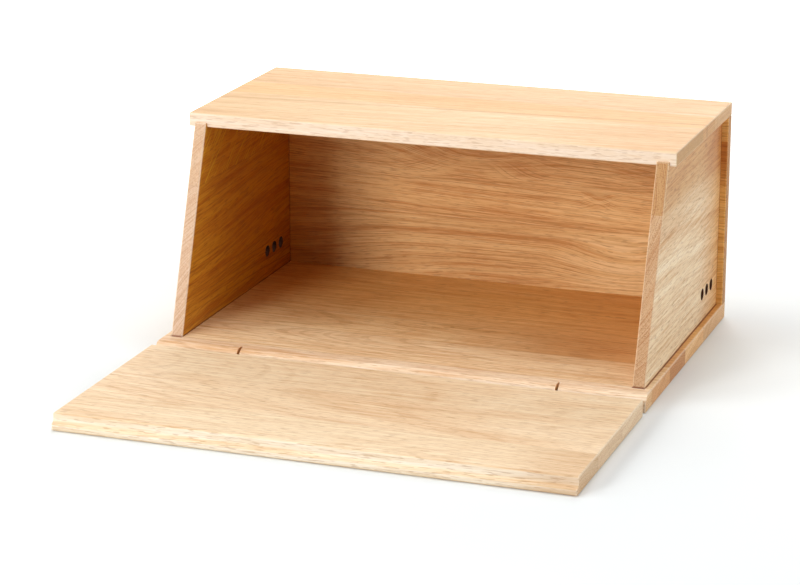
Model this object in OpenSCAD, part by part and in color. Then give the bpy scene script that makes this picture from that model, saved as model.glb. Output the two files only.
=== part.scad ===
// Bread box of rubberwood boards with a sloping open front. The front is closed by
// a flap that swings down on two hidden hinges and then lies flat on the table,
// level with the base, as a cutting board. It is drawn open.
// X runs across the width, Y from front to back and Z up from the table. The origin
// is on the table under the middle of the open box.

/* [Box] */
// Width of the base, top, back and flap
box_w = 400; // [320:5:480]
// Height from the table to the top face
box_h = 183; // [150:1:240]
// Depth of the base, from its rounded front edge to the back
base_depth = 258.5; // [240:0.5:320]
// How far the front leans back from upright, in degrees
front_lean = 18.75; // [12:0.25:24]

/* [Boards] */
// Thickness of the base and of the flap, which lie level when open
deck_t = 13.5; // [12:0.5:16]
// Thickness of the top
top_t = 11; // [10:0.5:16]
// Thickness of each side
side_t = 10; // [8:0.5:14]
// Thickness of the back
back_t = 10; // [9:0.5:14]
// How far the ends of the base and top stand out past each side
side_inset = 5.5; // [3:0.5:12]
// Radius of the rounded front edge of the base
nose_r = 8; // [5:0.5:9]
// Radius of the eased edges
arris = 1.2; // [0.6:0.1:1.8]

/* [Joints between the boards] */
// Depth of the grooves that hold the sides
groove_depth = 3.5; // [2:0.5:5]
// Total play of a side across its groove
groove_play = 0.4; // [0.2:0.1:0.8]
// How far the groove in the base runs out in front of a side
groove_run_out = 1.6; // [0.5:0.1:3]
// Diameter of the dowels under and over the back
dowel_d = 6; // [5:0.5:7]
// Length of a dowel
dowel_len = 22; // [16:1:30]
// How deep a dowel sits in the base or the top
dowel_seat = 7; // [5:0.5:8]
// Distance from the end of the back to its first dowel
dowel_end = 32; // [20:1:60]
// Number of dowels along the back
dowel_count = 4; // [2:1:6]
// Play between a dowel and its hole, across and at the end
dowel_play = 0.1; // [0.05:0.05:0.3]

/* [Air holes] */
// Diameter of an air hole
vent_d = 9.5; // [6:0.5:12]
// Number of air holes in each side
vent_count = 3; // [1:1:6]
// Distance from hole to hole
vent_pitch = 15; // [14:0.5:24]
// Distance from the back to the nearest hole's middle
vent_back = 21; // [14:0.5:40]
// Height of the holes' middle over the base
vent_up = 23; // [14:0.5:60]

/* [Flap] */
// How high the closed flap reaches up the front face of the top
flap_overlap = 6.5; // [1:0.5:8]
// Space left between the closed flap and the front face of the top
top_gap = 0.8; // [0.4:0.1:2]
// Space left between the closed flap and the front edges of the sides
rest_gap = 0.3; // [0.2:0.1:1]
// Space left under the closed flap, over the base
shut_gap = 1.5; // [0.8:0.1:3]
// How far the finger lip stands out past the flap's inner face
lip_out = 4.2; // [4.2:0.2:9]
// Thickness of the finger lip
lip_t = 5.5; // [5:0.5:7]
// Radius of the hollow over the finger lip
lip_hollow_r = 4; // [3:0.2:4.2]
// Radius of the lip's rounded outer edge
lip_edge_r = 3; // [1.5:0.5:3.5]
// Radius of the rounded edge between the hollow and the inner face
hollow_edge_r = 2; // [1:0.5:2.5]

/* [Hinges] */
// Distance from each end of the base to the nearer hinge
hinge_inset = 70; // [50:5:120]
// How far the hinge pin sits behind the front of the base
pivot_back = 5.8; // [5.6:0.1:8]
// Diameter of the hinge pin
pin_d = 3; // [2.5:0.1:3.2]
// Diameter of the riveted heads of the pin
pin_head_d = 4.6; // [4:0.1:5]
// Thickness of the riveted heads of the pin
pin_head_t = 0.8; // [0.5:0.1:1.2]
// Radial running clearance of the arm on its pin
pin_clearance = 0.05; // [0.03:0.01:0.09]
// Radial play of the riveted pin in the bracket's ears
pin_play = 0.02; // [0.01:0.01:0.03]
// Height of the hinge arm, which is also the width of its eye
arm_h = 5.6; // [5:0.1:6.4]
// Space between the hinge arm and the bracket's plate under it
arm_lift = 0.5; // [0.3:0.1:1]
// How far the arm reaches into the flap
arm_reach = 32; // [26:1:45]
// Width of the leaf at the foot of the arm
leaf_w = 17; // [14:0.5:24]
// Distance from the ends of the leaf to the rear edge of the flap and to the arm's end
leaf_margin = 2; // [1:0.5:5]
// Thickness of the sheet that the arm, its leaf and the bracket are bent from
sheet_t = 1.5; // [1.2:0.1:1.6]
// How deep the leaf and the bracket are sunk below the wood
sunk = 0.2; // [0.1:0.1:0.4]
// Side play of the arm between the bracket's ears
ear_play = 0.2; // [0.1:0.05:0.4]
// Side play of the arm in its slots in the wood
slot_play = 0.4; // [0.3:0.1:0.8]
// Play round the metal parts let into the wood
pocket_play = 0.3; // [0.2:0.1:0.6]
// Width of the bracket's plate
plate_w = 18; // [16:0.5:26]
// Length of the bracket's plate behind its ears
plate_len = 28; // [24:1:40]

/* [Screws] */
// Diameter of a screw's shank
screw_d = 2.8; // [2.4:0.1:3.2]
// Diameter of a screw's countersunk head
screw_head_d = 5.6; // [5:0.1:6.4]
// Height of the countersunk head
screw_head_h = 1.4; // [1:0.1:1.5]
// Length of a screw, with its head
screw_len = 9; // [7:0.5:10]
// Distance between the two screws of a leaf or a bracket
screw_pitch = 13; // [10:0.5:16]
// Play between a screw and its hole, across and at the end
screw_play = 0.1; // [0.05:0.05:0.3]

/* [Hidden] */
$fn = 64;
// How far a cutter reaches past the surface it opens
over = 1;

sheet_top_z = sunk + sheet_t;
pivot_z = sheet_top_z + arm_lift + arm_h / 2;
pivot_y = pivot_back - base_depth;
// The pin lies this deep under the faces of the base and the open flap
pivot_under = deck_t - pivot_z;
// With the flap shut, its inner face lies along the front edges of the sides
lean_reach = pivot_under * (1 + sin(front_lean));
foot_y = pivot_y + (lean_reach + rest_gap) / cos(front_lean);
flap_back = (lean_reach + shut_gap) / cos(front_lean);
under_top_z = box_h - top_t;
lean_y = foot_y + tan(front_lean) * (under_top_z - deck_t);
shut_y = lean_y + tan(front_lean) * flap_overlap - rest_gap / cos(front_lean);
top_depth = -shut_y - top_gap;
flap_len = (under_top_z + flap_overlap - pivot_z + pivot_under * sin(front_lean))
    / cos(front_lean) - flap_back;
flap_rear_y = pivot_y - flap_back;
open_depth = -flap_rear_y + flap_len + lip_out;
side_x = box_w / 2 - side_inset - side_t;
hinge_x = box_w / 2 - hinge_inset;
back_h = under_top_z - deck_t;

ear_r = arm_h / 2 + 0.6;
ear_len = ear_r + 3.5;
channel_w = 3 * sheet_t + 2 * ear_play;
pin_len = channel_w + 2 * pin_head_t;
leaf_front = arm_reach - leaf_margin;
wood_colour = "#E9C998";
dowel_colour = "#D8B27C";
steel_colour = "silver";
brass_colour = "#C9A24B";

// ---- Helpers ----

// Moves the box so that the origin is under the middle of the open box
module in_place() {
    translate([0, open_depth / 2, 0]) children();
}

// Extrudes a profile drawn in Y and Z along X, from the middle outwards both ways
module across(w) {
    translate([-w / 2, 0, 0]) rotate([90, 0, 90]) linear_extrude(w) children();
}

// Both hinges: the right one as drawn, the left one as its mirror image
module on_side(side) {
    if (side == "left") mirror([1, 0, 0]) children();
    else children();
}

// Rectangle with four eased corners, from its low corner
module eased_rect(w, h, r = arris) {
    translate([r, 0]) square([w - 2 * r, h]);
    translate([0, r]) square([w, h - 2 * r]);
    for (x = [r, w - r], y = [r, h - r]) translate([x, y]) circle(r);
}

// Cuts a rounded corner: the corner is at the origin and its body lies towards +X, +Y
module corner_cut(r) {
    difference() {
        translate([-over, -over]) square(r + over);
        translate([r, r]) circle(r);
    }
}

// Eases the four upright corners and the long end edges of a board w wide, seen
// from above and from the front, between y and y + d
module eased_outline(w, y, d, h) {
    translate([-w / 2, y, -over]) linear_extrude(h + 2 * over) eased_rect(w, d);
}

module eased_ends(w, y, d, h) {
    translate([-w / 2, y + d + over, 0]) rotate([90, 0, 0])
        linear_extrude(d + 2 * over) eased_rect(w, h);
}

// A wood screw from below, with its head at the origin
module screw() {
    point_h = screw_d;
    difference() {
        union() {
            cylinder(d1 = screw_head_d, d2 = screw_d, h = screw_head_h);
            cylinder(d = screw_d, h = screw_len - point_h);
            translate([0, 0, screw_len - point_h]) cylinder(d1 = screw_d, d2 = 0.4, h = point_h);
        }
        for (turn = [0, 90]) rotate(turn)
            translate([-screw_head_d / 4, -0.35, -over]) cube([screw_head_d / 2, 0.7, over + 0.8]);
    }
}

// The hole for a screw, in wood and sheet
module screw_hole() {
    wide = 2 * screw_play;
    cylinder(d1 = screw_head_d + wide, d2 = screw_d + wide, h = screw_head_h);
    translate([0, 0, -over]) cylinder(d = screw_head_d + wide, h = over);
    cylinder(d = screw_d + wide, h = screw_len + screw_play);
}

// Places of the two screws of a leaf, right of the middle of the hinge
module at_leaf_screws() {
    middle = flap_rear_y - (leaf_margin + leaf_front) / 2;
    for (dy = [-1, 1] * screw_pitch / 2)
        translate([hinge_x + leaf_w / 2, middle + dy, sunk]) children();
}

// Places of the two screws of a bracket
module at_bracket_screws() {
    middle = pivot_y + ear_len + plate_len / 2;
    for (dy = [-1, 1] * screw_pitch / 2)
        translate([hinge_x, middle + dy, sunk]) children();
}

// Places of the dowels along the back, at height z
module at_dowels(z) {
    pitch = (box_w - 2 * dowel_end) / (dowel_count - 1);
    for (i = [0 : dowel_count - 1])
        translate([dowel_end - box_w / 2 + i * pitch, -back_t / 2, z]) children();
}

// A dowel with its seat below the origin and the rest above it
module dowel() {
    tip = 1;
    translate([0, 0, -dowel_seat]) {
        cylinder(d1 = dowel_d - 2 * tip, d2 = dowel_d, h = tip);
        translate([0, 0, tip]) cylinder(d = dowel_d, h = dowel_len - 2 * tip);
        translate([0, 0, dowel_len - tip]) cylinder(d1 = dowel_d, d2 = dowel_d - 2 * tip, h = tip);
    }
}

module dowel_hole() {
    translate([0, 0, -dowel_seat - dowel_play])
        cylinder(d = dowel_d + 2 * dowel_play, h = dowel_len + 2 * dowel_play);
}

// ---- Boards ----

// Slot sawn into the front edge of the base, in which a hinge arm swings up. Its
// rear edge runs along the back of the arm of the closed flap.
module arm_slot_profile() {
    half = arm_h / 2 + pocket_play;
    rear = [pivot_y + half * cos(front_lean), pivot_z - half * sin(front_lean)];
    rise = (deck_t + over - rear[1]) / cos(front_lean);
    polygon([
        [-base_depth - over, -over],
        [rear[0], -over],
        rear,
        rear + rise * [sin(front_lean), cos(front_lean)],
        [-base_depth - over, deck_t + over]
    ]);
}

// Hollow under the base that takes a bracket, its ears and its pin
module bracket_pocket() {
    wide = 2 * pocket_play;
    ears_h = pivot_z + ear_r + pocket_play;
    translate([hinge_x - (pin_len + wide) / 2, pivot_y - ear_r - pocket_play, -over])
        cube([pin_len + wide, ear_r + ear_len + wide, ears_h + over]);
    translate([hinge_x - (plate_w + wide) / 2, pivot_y + ear_len - pocket_play, -over])
        cube([plate_w + wide, plate_len + wide, sheet_top_z + over]);
    translate([hinge_x, 0, 0]) across(sheet_t + 2 * slot_play) arm_slot_profile();
    at_bracket_screws() screw_hole();
}

module base_board() {
    groove_w = side_t + groove_play;
    color(wood_colour) in_place() difference() {
        intersection() {
            across(box_w) difference() {
                translate([-base_depth, 0]) eased_rect(base_depth, deck_t);
                translate([-base_depth, deck_t]) mirror([0, 1]) corner_cut(nose_r);
            }
            eased_outline(box_w, -base_depth, base_depth, deck_t);
            eased_ends(box_w, -base_depth, base_depth, deck_t);
        }
        for (side = ["left", "right"]) on_side(side) {
            translate([side_x - groove_play / 2, foot_y - groove_run_out, deck_t - groove_depth])
                cube([groove_w, -back_t - foot_y + groove_run_out, groove_depth + over]);
            bracket_pocket();
        }
        at_dowels(deck_t) dowel_hole();
    }
}

module back_panel() {
    color(wood_colour) in_place() difference() {
        translate([-box_w / 2, -back_t, deck_t]) linear_extrude(back_h) eased_rect(box_w, back_t);
        at_dowels(deck_t) dowel_hole();
        at_dowels(under_top_z) mirror([0, 0, 1]) dowel_hole();
    }
}

module side_panel() {
    low_z = deck_t - groove_depth;
    high_z = under_top_z + groove_depth;
    low_y = foot_y - groove_depth * tan(front_lean);
    high_y = lean_y + groove_depth * tan(front_lean);
    difference() {
        intersection() {
            translate([side_x + side_t / 2, 0, 0]) across(side_t)
                polygon([[low_y, low_z], [-back_t, low_z], [-back_t, high_z], [high_y, high_z]]);
            // Eases the two long edges of the sloping front
            translate([side_x, low_y, low_z]) rotate([-front_lean, 0, 0])
                translate([0, 0, -base_depth]) linear_extrude(2 * box_h + base_depth) {
                    translate([arris, 0]) square([side_t - 2 * arris, base_depth]);
                    translate([0, arris]) square([side_t, base_depth]);
                    for (x = [arris, side_t - arris]) translate([x, arris]) circle(arris);
                }
        }
        for (i = [0 : vent_count - 1])
            translate([side_x - over, -back_t - vent_back - i * vent_pitch, deck_t + vent_up])
                rotate([0, 90, 0]) cylinder(d = vent_d, h = side_t + 2 * over);
    }
}

module side_panel_left() {
    color(wood_colour) in_place() on_side("left") side_panel();
}

module side_panel_right() {
    color(wood_colour) in_place() on_side("right") side_panel();
}

module top_board() {
    color(wood_colour) in_place() difference() {
        translate([0, 0, under_top_z]) intersection() {
            across(box_w) translate([-top_depth, 0]) eased_rect(top_depth, top_t);
            eased_outline(box_w, -top_depth, top_depth, top_t);
            eased_ends(box_w, -top_depth, top_depth, top_t);
        }
        for (side = ["left", "right"]) on_side(side)
            translate([side_x - groove_play / 2, -top_depth - over, under_top_z - over])
                cube([side_t + groove_play, top_depth - back_t + over, groove_depth + over]);
        at_dowels(under_top_z) mirror([0, 0, 1]) dowel_hole();
    }
}

module dowels_base() {
    color(dowel_colour) in_place() at_dowels(deck_t) dowel();
}

module dowels_top() {
    color(dowel_colour) in_place() at_dowels(under_top_z) mirror([0, 0, 1]) dowel();
}

// Section of the flap: x runs from its rear edge to its free edge
module flap_profile() {
    hollow_z = lip_t + lip_hollow_r;
    end = flap_len + lip_out;
    difference() {
        square([end, deck_t]);
        // The hollow over the finger lip
        translate([flap_len, hollow_z]) square([lip_out + over, deck_t]);
        translate([flap_len + lip_hollow_r, hollow_z]) circle(lip_hollow_r);
        translate([flap_len + lip_hollow_r, lip_t]) square([lip_out, lip_hollow_r + over]);
        // The rounded edges
        corner_cut(arris);
        translate([0, deck_t]) mirror([0, 1]) corner_cut(arris);
        translate([flap_len, deck_t]) rotate(180) corner_cut(hollow_edge_r);
        translate([end, 0]) mirror([1, 0]) corner_cut(lip_edge_r);
        translate([end, lip_t]) rotate(180) corner_cut(arris);
    }
}

// Kerf and recess in the flap that take a hinge arm and its leaf
module arm_pocket() {
    wide = 2 * pocket_play;
    kerf_w = sheet_t + 2 * slot_play;
    translate([hinge_x - kerf_w / 2, flap_rear_y - arm_reach - pocket_play, -over])
        cube([kerf_w, arm_reach + pocket_play + over, pivot_z + arm_h / 2 + pocket_play + over]);
    translate([hinge_x - sheet_t / 2 - pocket_play, flap_rear_y - leaf_front - pocket_play, -over])
        cube([leaf_w + wide, leaf_front - leaf_margin + wide, sheet_top_z + over]);
    at_leaf_screws() screw_hole();
}

module front_flap() {
    depth = flap_len + lip_out;
    color(wood_colour) in_place() difference() {
        intersection() {
            across(box_w) translate([flap_rear_y, 0]) mirror([1, 0]) flap_profile();
            eased_outline(box_w, flap_rear_y - depth, depth, deck_t);
            eased_ends(box_w, flap_rear_y - depth, depth, deck_t);
        }
        for (side = ["left", "right"]) on_side(side) arm_pocket();
    }
}

// ---- Hinges ----

// Pressed bracket under the base: two ears that hold the pin, and a screwed plate
module hinge_bracket(side) {
    color(steel_colour) in_place() on_side(side) difference() {
        union() {
            for (dx = [-1, 1] * (channel_w - sheet_t) / 2) translate([hinge_x + dx, 0, 0]) across(sheet_t) {
                translate([pivot_y, pivot_z]) circle(ear_r);
                translate([pivot_y - ear_r, sunk]) square([2 * ear_r, pivot_z - sunk]);
                translate([pivot_y, sunk]) square([ear_len, pivot_z - sunk]);
            }
            translate([hinge_x - channel_w / 2, pivot_y - ear_r, sunk])
                cube([channel_w, ear_r + ear_len, sheet_t]);
            translate([hinge_x - plate_w / 2, pivot_y + ear_len, sunk])
                cube([plate_w, plate_len, sheet_t]);
        }
        translate([hinge_x, pivot_y, pivot_z]) rotate([0, 90, 0])
            cylinder(r = pin_d / 2 + pin_play, h = channel_w + 2 * over, center = true);
        at_bracket_screws() screw_hole();
    }
}

module hinge_bracket_left() {
    hinge_bracket("left");
}

module hinge_bracket_right() {
    hinge_bracket("right");
}

// Pin riveted over at both ears
module hinge_pin(side) {
    color(brass_colour) in_place() on_side(side)
        translate([hinge_x, pivot_y, pivot_z]) rotate([0, 90, 0]) {
            cylinder(d = pin_d, h = channel_w, center = true);
            for (end = [0, 1]) mirror([0, 0, end])
                translate([0, 0, channel_w / 2]) cylinder(d = pin_head_d, h = pin_head_t);
        }
}

module hinge_pin_left() {
    hinge_pin("left");
}

module hinge_pin_right() {
    hinge_pin("right");
}

// Bent arm: an upright bar with an eye for the pin, and a screwed leaf under the flap
module hinge_arm(side) {
    color(steel_colour) in_place() on_side(side) difference() {
        union() {
            translate([hinge_x, 0, 0]) across(sheet_t) {
                translate([pivot_y, pivot_z]) circle(d = arm_h);
                translate([flap_rear_y - arm_reach, pivot_z - arm_h / 2])
                    square([flap_back + arm_reach, arm_h]);
                translate([flap_rear_y - leaf_front, sunk])
                    square([leaf_front - leaf_margin, pivot_z - sunk]);
            }
            translate([hinge_x - sheet_t / 2, flap_rear_y - leaf_front, sunk])
                cube([leaf_w, leaf_front - leaf_margin, sheet_t]);
        }
        translate([hinge_x, pivot_y, pivot_z]) rotate([0, 90, 0])
            cylinder(r = pin_d / 2 + pin_clearance, h = sheet_t + 2 * over, center = true);
        at_leaf_screws() screw_hole();
    }
}

module hinge_arm_left() {
    hinge_arm("left");
}

module hinge_arm_right() {
    hinge_arm("right");
}

module bracket_screws() {
    color(steel_colour) in_place()
        for (side = ["left", "right"]) on_side(side) at_bracket_screws() screw();
}

module arm_screws() {
    color(steel_colour) in_place()
        for (side = ["left", "right"]) on_side(side) at_leaf_screws() screw();
}

base_board();
back_panel();
side_panel_left();
side_panel_right();
top_board();
dowels_base();
dowels_top();
hinge_bracket_left();
hinge_bracket_right();
hinge_pin_left();
hinge_pin_right();
bracket_screws();
front_flap();
hinge_arm_left();
hinge_arm_right();
arm_screws();
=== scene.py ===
# %% [markdown]
# # A wooden bread box, dressed for its picture
# The box is made of pale edge-glued rubberwood boards. Its front is a flap that lies
# open on the table. The boards, hinges, dowels and screws come from the CAD model as
# they are, so this lesson is about the wood: how one board differs from the next, how
# the grain runs, and what light shows it best.

# %% Load the CAD frame
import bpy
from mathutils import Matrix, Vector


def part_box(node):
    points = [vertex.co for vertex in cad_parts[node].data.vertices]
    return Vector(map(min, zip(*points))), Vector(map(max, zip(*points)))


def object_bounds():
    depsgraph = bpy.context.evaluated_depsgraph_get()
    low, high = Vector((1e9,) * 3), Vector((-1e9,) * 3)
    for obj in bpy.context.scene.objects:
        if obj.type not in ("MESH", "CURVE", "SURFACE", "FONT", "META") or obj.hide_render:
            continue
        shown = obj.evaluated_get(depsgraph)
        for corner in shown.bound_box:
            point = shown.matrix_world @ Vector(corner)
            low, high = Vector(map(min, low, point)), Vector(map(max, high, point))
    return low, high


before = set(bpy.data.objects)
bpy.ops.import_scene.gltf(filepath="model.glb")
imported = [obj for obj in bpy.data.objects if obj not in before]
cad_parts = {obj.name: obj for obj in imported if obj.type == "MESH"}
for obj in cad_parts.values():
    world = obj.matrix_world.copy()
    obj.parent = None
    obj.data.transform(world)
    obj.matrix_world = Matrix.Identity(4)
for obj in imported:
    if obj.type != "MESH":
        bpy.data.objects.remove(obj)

cad_box = [list(corner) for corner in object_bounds()]
print("CAD box in metres:", cad_box)

# %% [markdown]
# ## The camera
# The picture was taken from a little above and from the right, with a long lens. The
# camera's place was found by fitting about forty corners of the box to the picture. It
# is given from the bottom of the box's rear face, because that face is where the depths
# of the box are measured from. A small shift of the lens moves the view without tilting
# the uprights.

# %% Where the camera stands
import math
import bpy
from mathutils import Matrix, Vector

MM = 1000                                    # millimetres in a metre
REAR_Y = cad_box[1][1]                       # the box's rear face, in metres
PICTURE_W, PICTURE_H = 800, 585              # pixels
FOCAL_PX = 2752.28                           # the focal length, in those pixels
CENTRE_PX = (405.71, 294.48)                 # where the lens points, in the picture
FILM_W = 36                                  # mm
YAW, PITCH, ROLL = 0.3391, -0.2933, 0.0016   # radians
EYE = Vector((0.67691, -2.14908 + REAR_Y, 0.67918))

scene = bpy.context.scene
ahead = Vector((-math.sin(YAW) * math.cos(PITCH),
                math.cos(YAW) * math.cos(PITCH),
                math.sin(PITCH)))
level = Vector((math.cos(YAW), math.sin(YAW), 0))
upward = level.cross(ahead)
side_axis = math.cos(ROLL) * level + math.sin(ROLL) * upward
up_axis = math.cos(ROLL) * upward - math.sin(ROLL) * level
print("the camera looks along", tuple(round(v, 3) for v in ahead))

# %% The camera
lens = bpy.data.cameras.new("camera")
lens.sensor_fit = "HORIZONTAL"
lens.sensor_width = FILM_W
lens.lens = FILM_W * FOCAL_PX / PICTURE_W
lens.shift_x = (PICTURE_W / 2 - CENTRE_PX[0]) / PICTURE_W
lens.shift_y = (CENTRE_PX[1] - PICTURE_H / 2) / PICTURE_W
lens.dof.use_dof = False
camera = bpy.data.objects.new("camera", lens)
scene.collection.objects.link(camera)
turn = Matrix((side_axis, up_axis, -ahead)).transposed().to_4x4()
camera.matrix_world = Matrix.Translation(EYE) @ turn
scene.camera = camera
scene.view_settings.view_transform = "Standard"
print("camera at", tuple(round(v, 3) for v in EYE), "with a lens of", round(lens.lens, 1), "mm")

# %% [markdown]
# ## Helpers for materials
# Colours are written as the hex values that a picture shows, and Blender works with
# linear light, so one function turns the first into the second. A second small function
# adds one node with its settings and its links, so that a material reads from top to
# bottom as a recipe. The last two start a material and put it on a piece.

# %% Four helpers
def linear(hex_colour):
    """The linear colour of an sRGB hex value, with an alpha of 1."""
    values = [int(hex_colour[i:i + 2], 16) / 255 for i in (1, 3, 5)]
    return [v / 12.92 if v <= 0.04045 else ((v + 0.055) / 1.055) ** 2.4 for v in values] + [1]


def add(tree, kind, inputs=None, **settings):
    """Adds one node; inputs maps a socket's name or number to a value or to an output."""
    item = tree.nodes.new("ShaderNode" + kind)
    for key, value in settings.items():
        setattr(item, key, value)
    for key, value in (inputs or {}).items():
        if isinstance(value, bpy.types.NodeSocket):
            tree.links.new(value, item.inputs[key])
        else:
            item.inputs[key].default_value = value
    return item


def fresh(name):
    """A new material with a Principled shader that is wired to its output."""
    material = bpy.data.materials.new(name)
    material.use_nodes = True
    tree = material.node_tree
    return material, tree, tree.nodes["Principled BSDF"]


def dress(node_name, material):
    """Puts a material on a piece of the CAD model."""
    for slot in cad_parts[node_name].material_slots:
        slot.material = material
    print(node_name, "is", material.name)


print("a colour in linear light:", [round(v, 3) for v in linear("#EFD2AA")])

# %% [markdown]
# ## How a rubberwood board looks
# A board is glued up from staves 20 to 130 mm wide. Rubberwood is pale cream to honey,
# with no dark heartwood, and an oiled matt finish lets its tone show. Each stave is sawn
# from another place in a log, so it has its own tone, and its growth rings lie round
# their own pith. The colours could come from a picture of wood, but the wood here is a
# solid pattern in space: what runs along a face turns over the edge and ends as dots and
# arcs on the end grain, as it does in a real board.

# %% The colours of rubberwood
PALE, CREAM, HONEY, TAN = "#F6EBD6", "#EEDCBD", "#E2C6A2", "#D2A878"
RING_BROWN, STROKE_BROWN, PORE_BROWN = "#B98650", "#C08F5B", "#A87644"
# The second colour below is painted shade for the inside of the air holes
GLUE_BROWN, HOLE_SHADE, JOINT = "#A9784A", "#4C2817", "#AC7C50"

# From the palest fibres, at 0, to the darkest, at 1
BARE_WOOD = [(0.05, PALE), (0.38, CREAM), (0.68, HONEY), (0.95, TAN)]
print("bare wood:", ", ".join(colour for place, colour in BARE_WOOD))

# %% [markdown]
# ## Places in a board
# A board is drawn in millimetres from the bottom of the box's rear face, so that a stave
# or a mark can be given at the place where it was measured. The way that a face looks
# tells end grain and narrow edges from broad faces. The CAD model's own faces could be
# told apart instead, but then the wood would be painted on them, and not run through.

# %% Places in a board
# How squarely a face looks along an axis, from 0 to 1: it starts to count as end grain
# or as a narrow edge at the first, and counts fully at the second
END_GRAIN, NARROW_EDGE = (0.6, 0.85), (0.75, 0.95)


def places_in_mm(tree):
    """Places in mm, the same split in X, Y and Z, and which way the face looks."""
    place = add(tree, "TexCoord")
    mm = add(tree, "VectorMath", {0: place.outputs["Object"], 1: (MM, MM, MM),
                                  2: (0, -MM * REAR_Y, 0)}, operation="MULTIPLY_ADD").outputs[0]
    split = add(tree, "SeparateXYZ", {0: mm})
    turned = add(tree, "SeparateXYZ", {0: place.outputs["Normal"]})
    return mm, split, turned


def looks_along(tree, turned, axis, squarely):
    """1 on faces that look along an axis, 0 on others, and between on a rounded edge."""
    share = add(tree, "Math", {0: turned.outputs[axis]}, operation="ABSOLUTE").outputs[0]
    return add(tree, "MapRange", {0: share, 1: squarely[0], 2: squarely[1]}).outputs[0]


print("the rear face is at", round(REAR_Y * MM, 1), "mm")

# %% [markdown]
# ## Staves
# The staves could be separate pieces, but they are glued and sanded to one board, so a
# material that steps at each glue line tells the same story with less to keep in step.
# It gives each stave a tone, the place of its pith, and how far the pith leans from the
# length of the board.

# %% Which stave is it?
NO_SEAM = 1000.0      # mm, farther away than any glue line


def pick_stave(tree, across, staves):
    """Tone, pith, lean, number and end tone of a stave, and how far its glue line is.

    staves: (lower edge, tone, pith across, pith through, drift, dip, tone of the end
        grain) in mm, from the lowest; drift and dip say how far the pith moves across
        the board and through it for each mm along it.
    """
    _, colour, pith_across, pith_through, drift, dip, end_colour = staves[0]
    tone, end = linear(colour), linear(end_colour)
    pith, lean = (pith_across, pith_through, 0), (drift, dip, 0)
    number, seam = 0.0, NO_SEAM
    for edge, colour, pith_across, pith_through, drift, dip, end_colour in staves[1:]:
        past = add(tree, "Math", {0: across, 1: edge}, operation="GREATER_THAN").outputs[0]
        tone = add(tree, "Mix", {0: past, 6: tone, 7: linear(colour)},
                   data_type="RGBA").outputs[2]
        end = add(tree, "Mix", {0: past, 6: end, 7: linear(end_colour)},
                  data_type="RGBA").outputs[2]
        pith = add(tree, "Mix", {0: past, 4: pith, 5: (pith_across, pith_through, 0)},
                   data_type="VECTOR").outputs[1]
        lean = add(tree, "Mix", {0: past, 4: lean, 5: (drift, dip, 0)},
                   data_type="VECTOR").outputs[1]
        number = add(tree, "Math", {0: number, 1: past}).outputs[0]
        gap = add(tree, "Math", {0: across, 1: edge}, operation="SUBTRACT").outputs[0]
        gap = add(tree, "Math", {0: gap}, operation="ABSOLUTE").outputs[0]
        seam = add(tree, "Math", {0: seam, 1: gap}, operation="MINIMUM").outputs[0]
    return tone, pith, lean, number, end, seam


print("staves can be told apart")

# %% [markdown]
# ## How the rings bend
# No tree is quite round. Its growth rings wander by some millimetres, and near an old
# branch they bulge, which a board shows as closed arcs. A little slow noise makes them
# wander, and a bulge is added at each branch, one by one, because noise alone never puts a
# branch where the real one is.

# %% How the rings bend
WANDER = (450, 90, 90)      # mm along, across and through: the size of one bend


def slow_wobble(tree, grain, wild):
    """How far the rings wander from their circles, up to wild mm to either side."""
    wander = add(tree, "VectorMath", {0: grain, 1: tuple(1 / size for size in WANDER)},
                 operation="MULTIPLY")
    wander = add(tree, "TexNoise", {"Vector": wander.outputs[0], "Scale": 1.0,
                                    "Detail": 1.5}).outputs[0]
    return add(tree, "MapRange", {0: wander, 1: 0.2, 2: 0.8, 3: -wild, 4: wild},
               interpolation_type="SMOOTHSTEP").outputs[0]


def bend_at_branches(tree, along, across, wobble, branches):
    """How far the rings are bent in all, and how much paler the wood is.

    branches: (along, across, length, width, bulge, pale), in mm but for the last.
    """
    bend, paler = wobble, 0.0
    for middle, height, length, width, bulge, pale in branches:
        face = add(tree, "CombineXYZ", {0: along, 1: across})
        face = add(tree, "VectorMath", {0: face.outputs[0], 1: (middle, height, 0)},
                   operation="SUBTRACT")
        face = add(tree, "VectorMath", {0: face.outputs[0], 1: (length, width, 1)},
                   operation="DIVIDE")
        face = add(tree, "VectorMath", {0: face.outputs[0]}, operation="LENGTH")
        near = add(tree, "MapRange", {0: face.outputs["Value"], 3: 1.0, 4: 0.0},
                   interpolation_type="SMOOTHSTEP").outputs[0]
        bend = add(tree, "Math", {0: near, 1: bulge, 2: bend},
                   operation="MULTIPLY_ADD").outputs[0]
        paler = add(tree, "Math", {0: near, 1: pale, 2: paler},
                    operation="MULTIPLY_ADD").outputs[0]
    return bend, paler


print("one bend of the rings is some", WANDER[0], "mm long")

# %% [markdown]
# ## Growth rings
# A ring is a surface at one distance from the pith. Where the saw ran past the pith the
# rings show as arches, and where it ran through the middle they show as straight lines.
# A Wave texture could draw rings too, but plain and evenly spaced ones, and round one
# pith for all the staves.

# %% How far is the pith?
STAVE_SHIFT = 731.0      # mm from one stave to the next, so that no figure repeats


def pith_distance(tree, along, flat, pith, lean):
    """How far the pith is, and how far of that is across the board."""
    drift = add(tree, "VectorMath", {0: lean, 3: along}, operation="SCALE")
    local = add(tree, "VectorMath", {0: flat.outputs[0], 1: pith}, operation="SUBTRACT")
    local = add(tree, "VectorMath", {0: local.outputs[0], 1: drift.outputs[0]},
                operation="SUBTRACT")
    radius = add(tree, "VectorMath", {0: local.outputs[0]}, operation="LENGTH").outputs["Value"]
    return radius, add(tree, "SeparateXYZ", {0: local.outputs[0]}).outputs[0]


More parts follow.
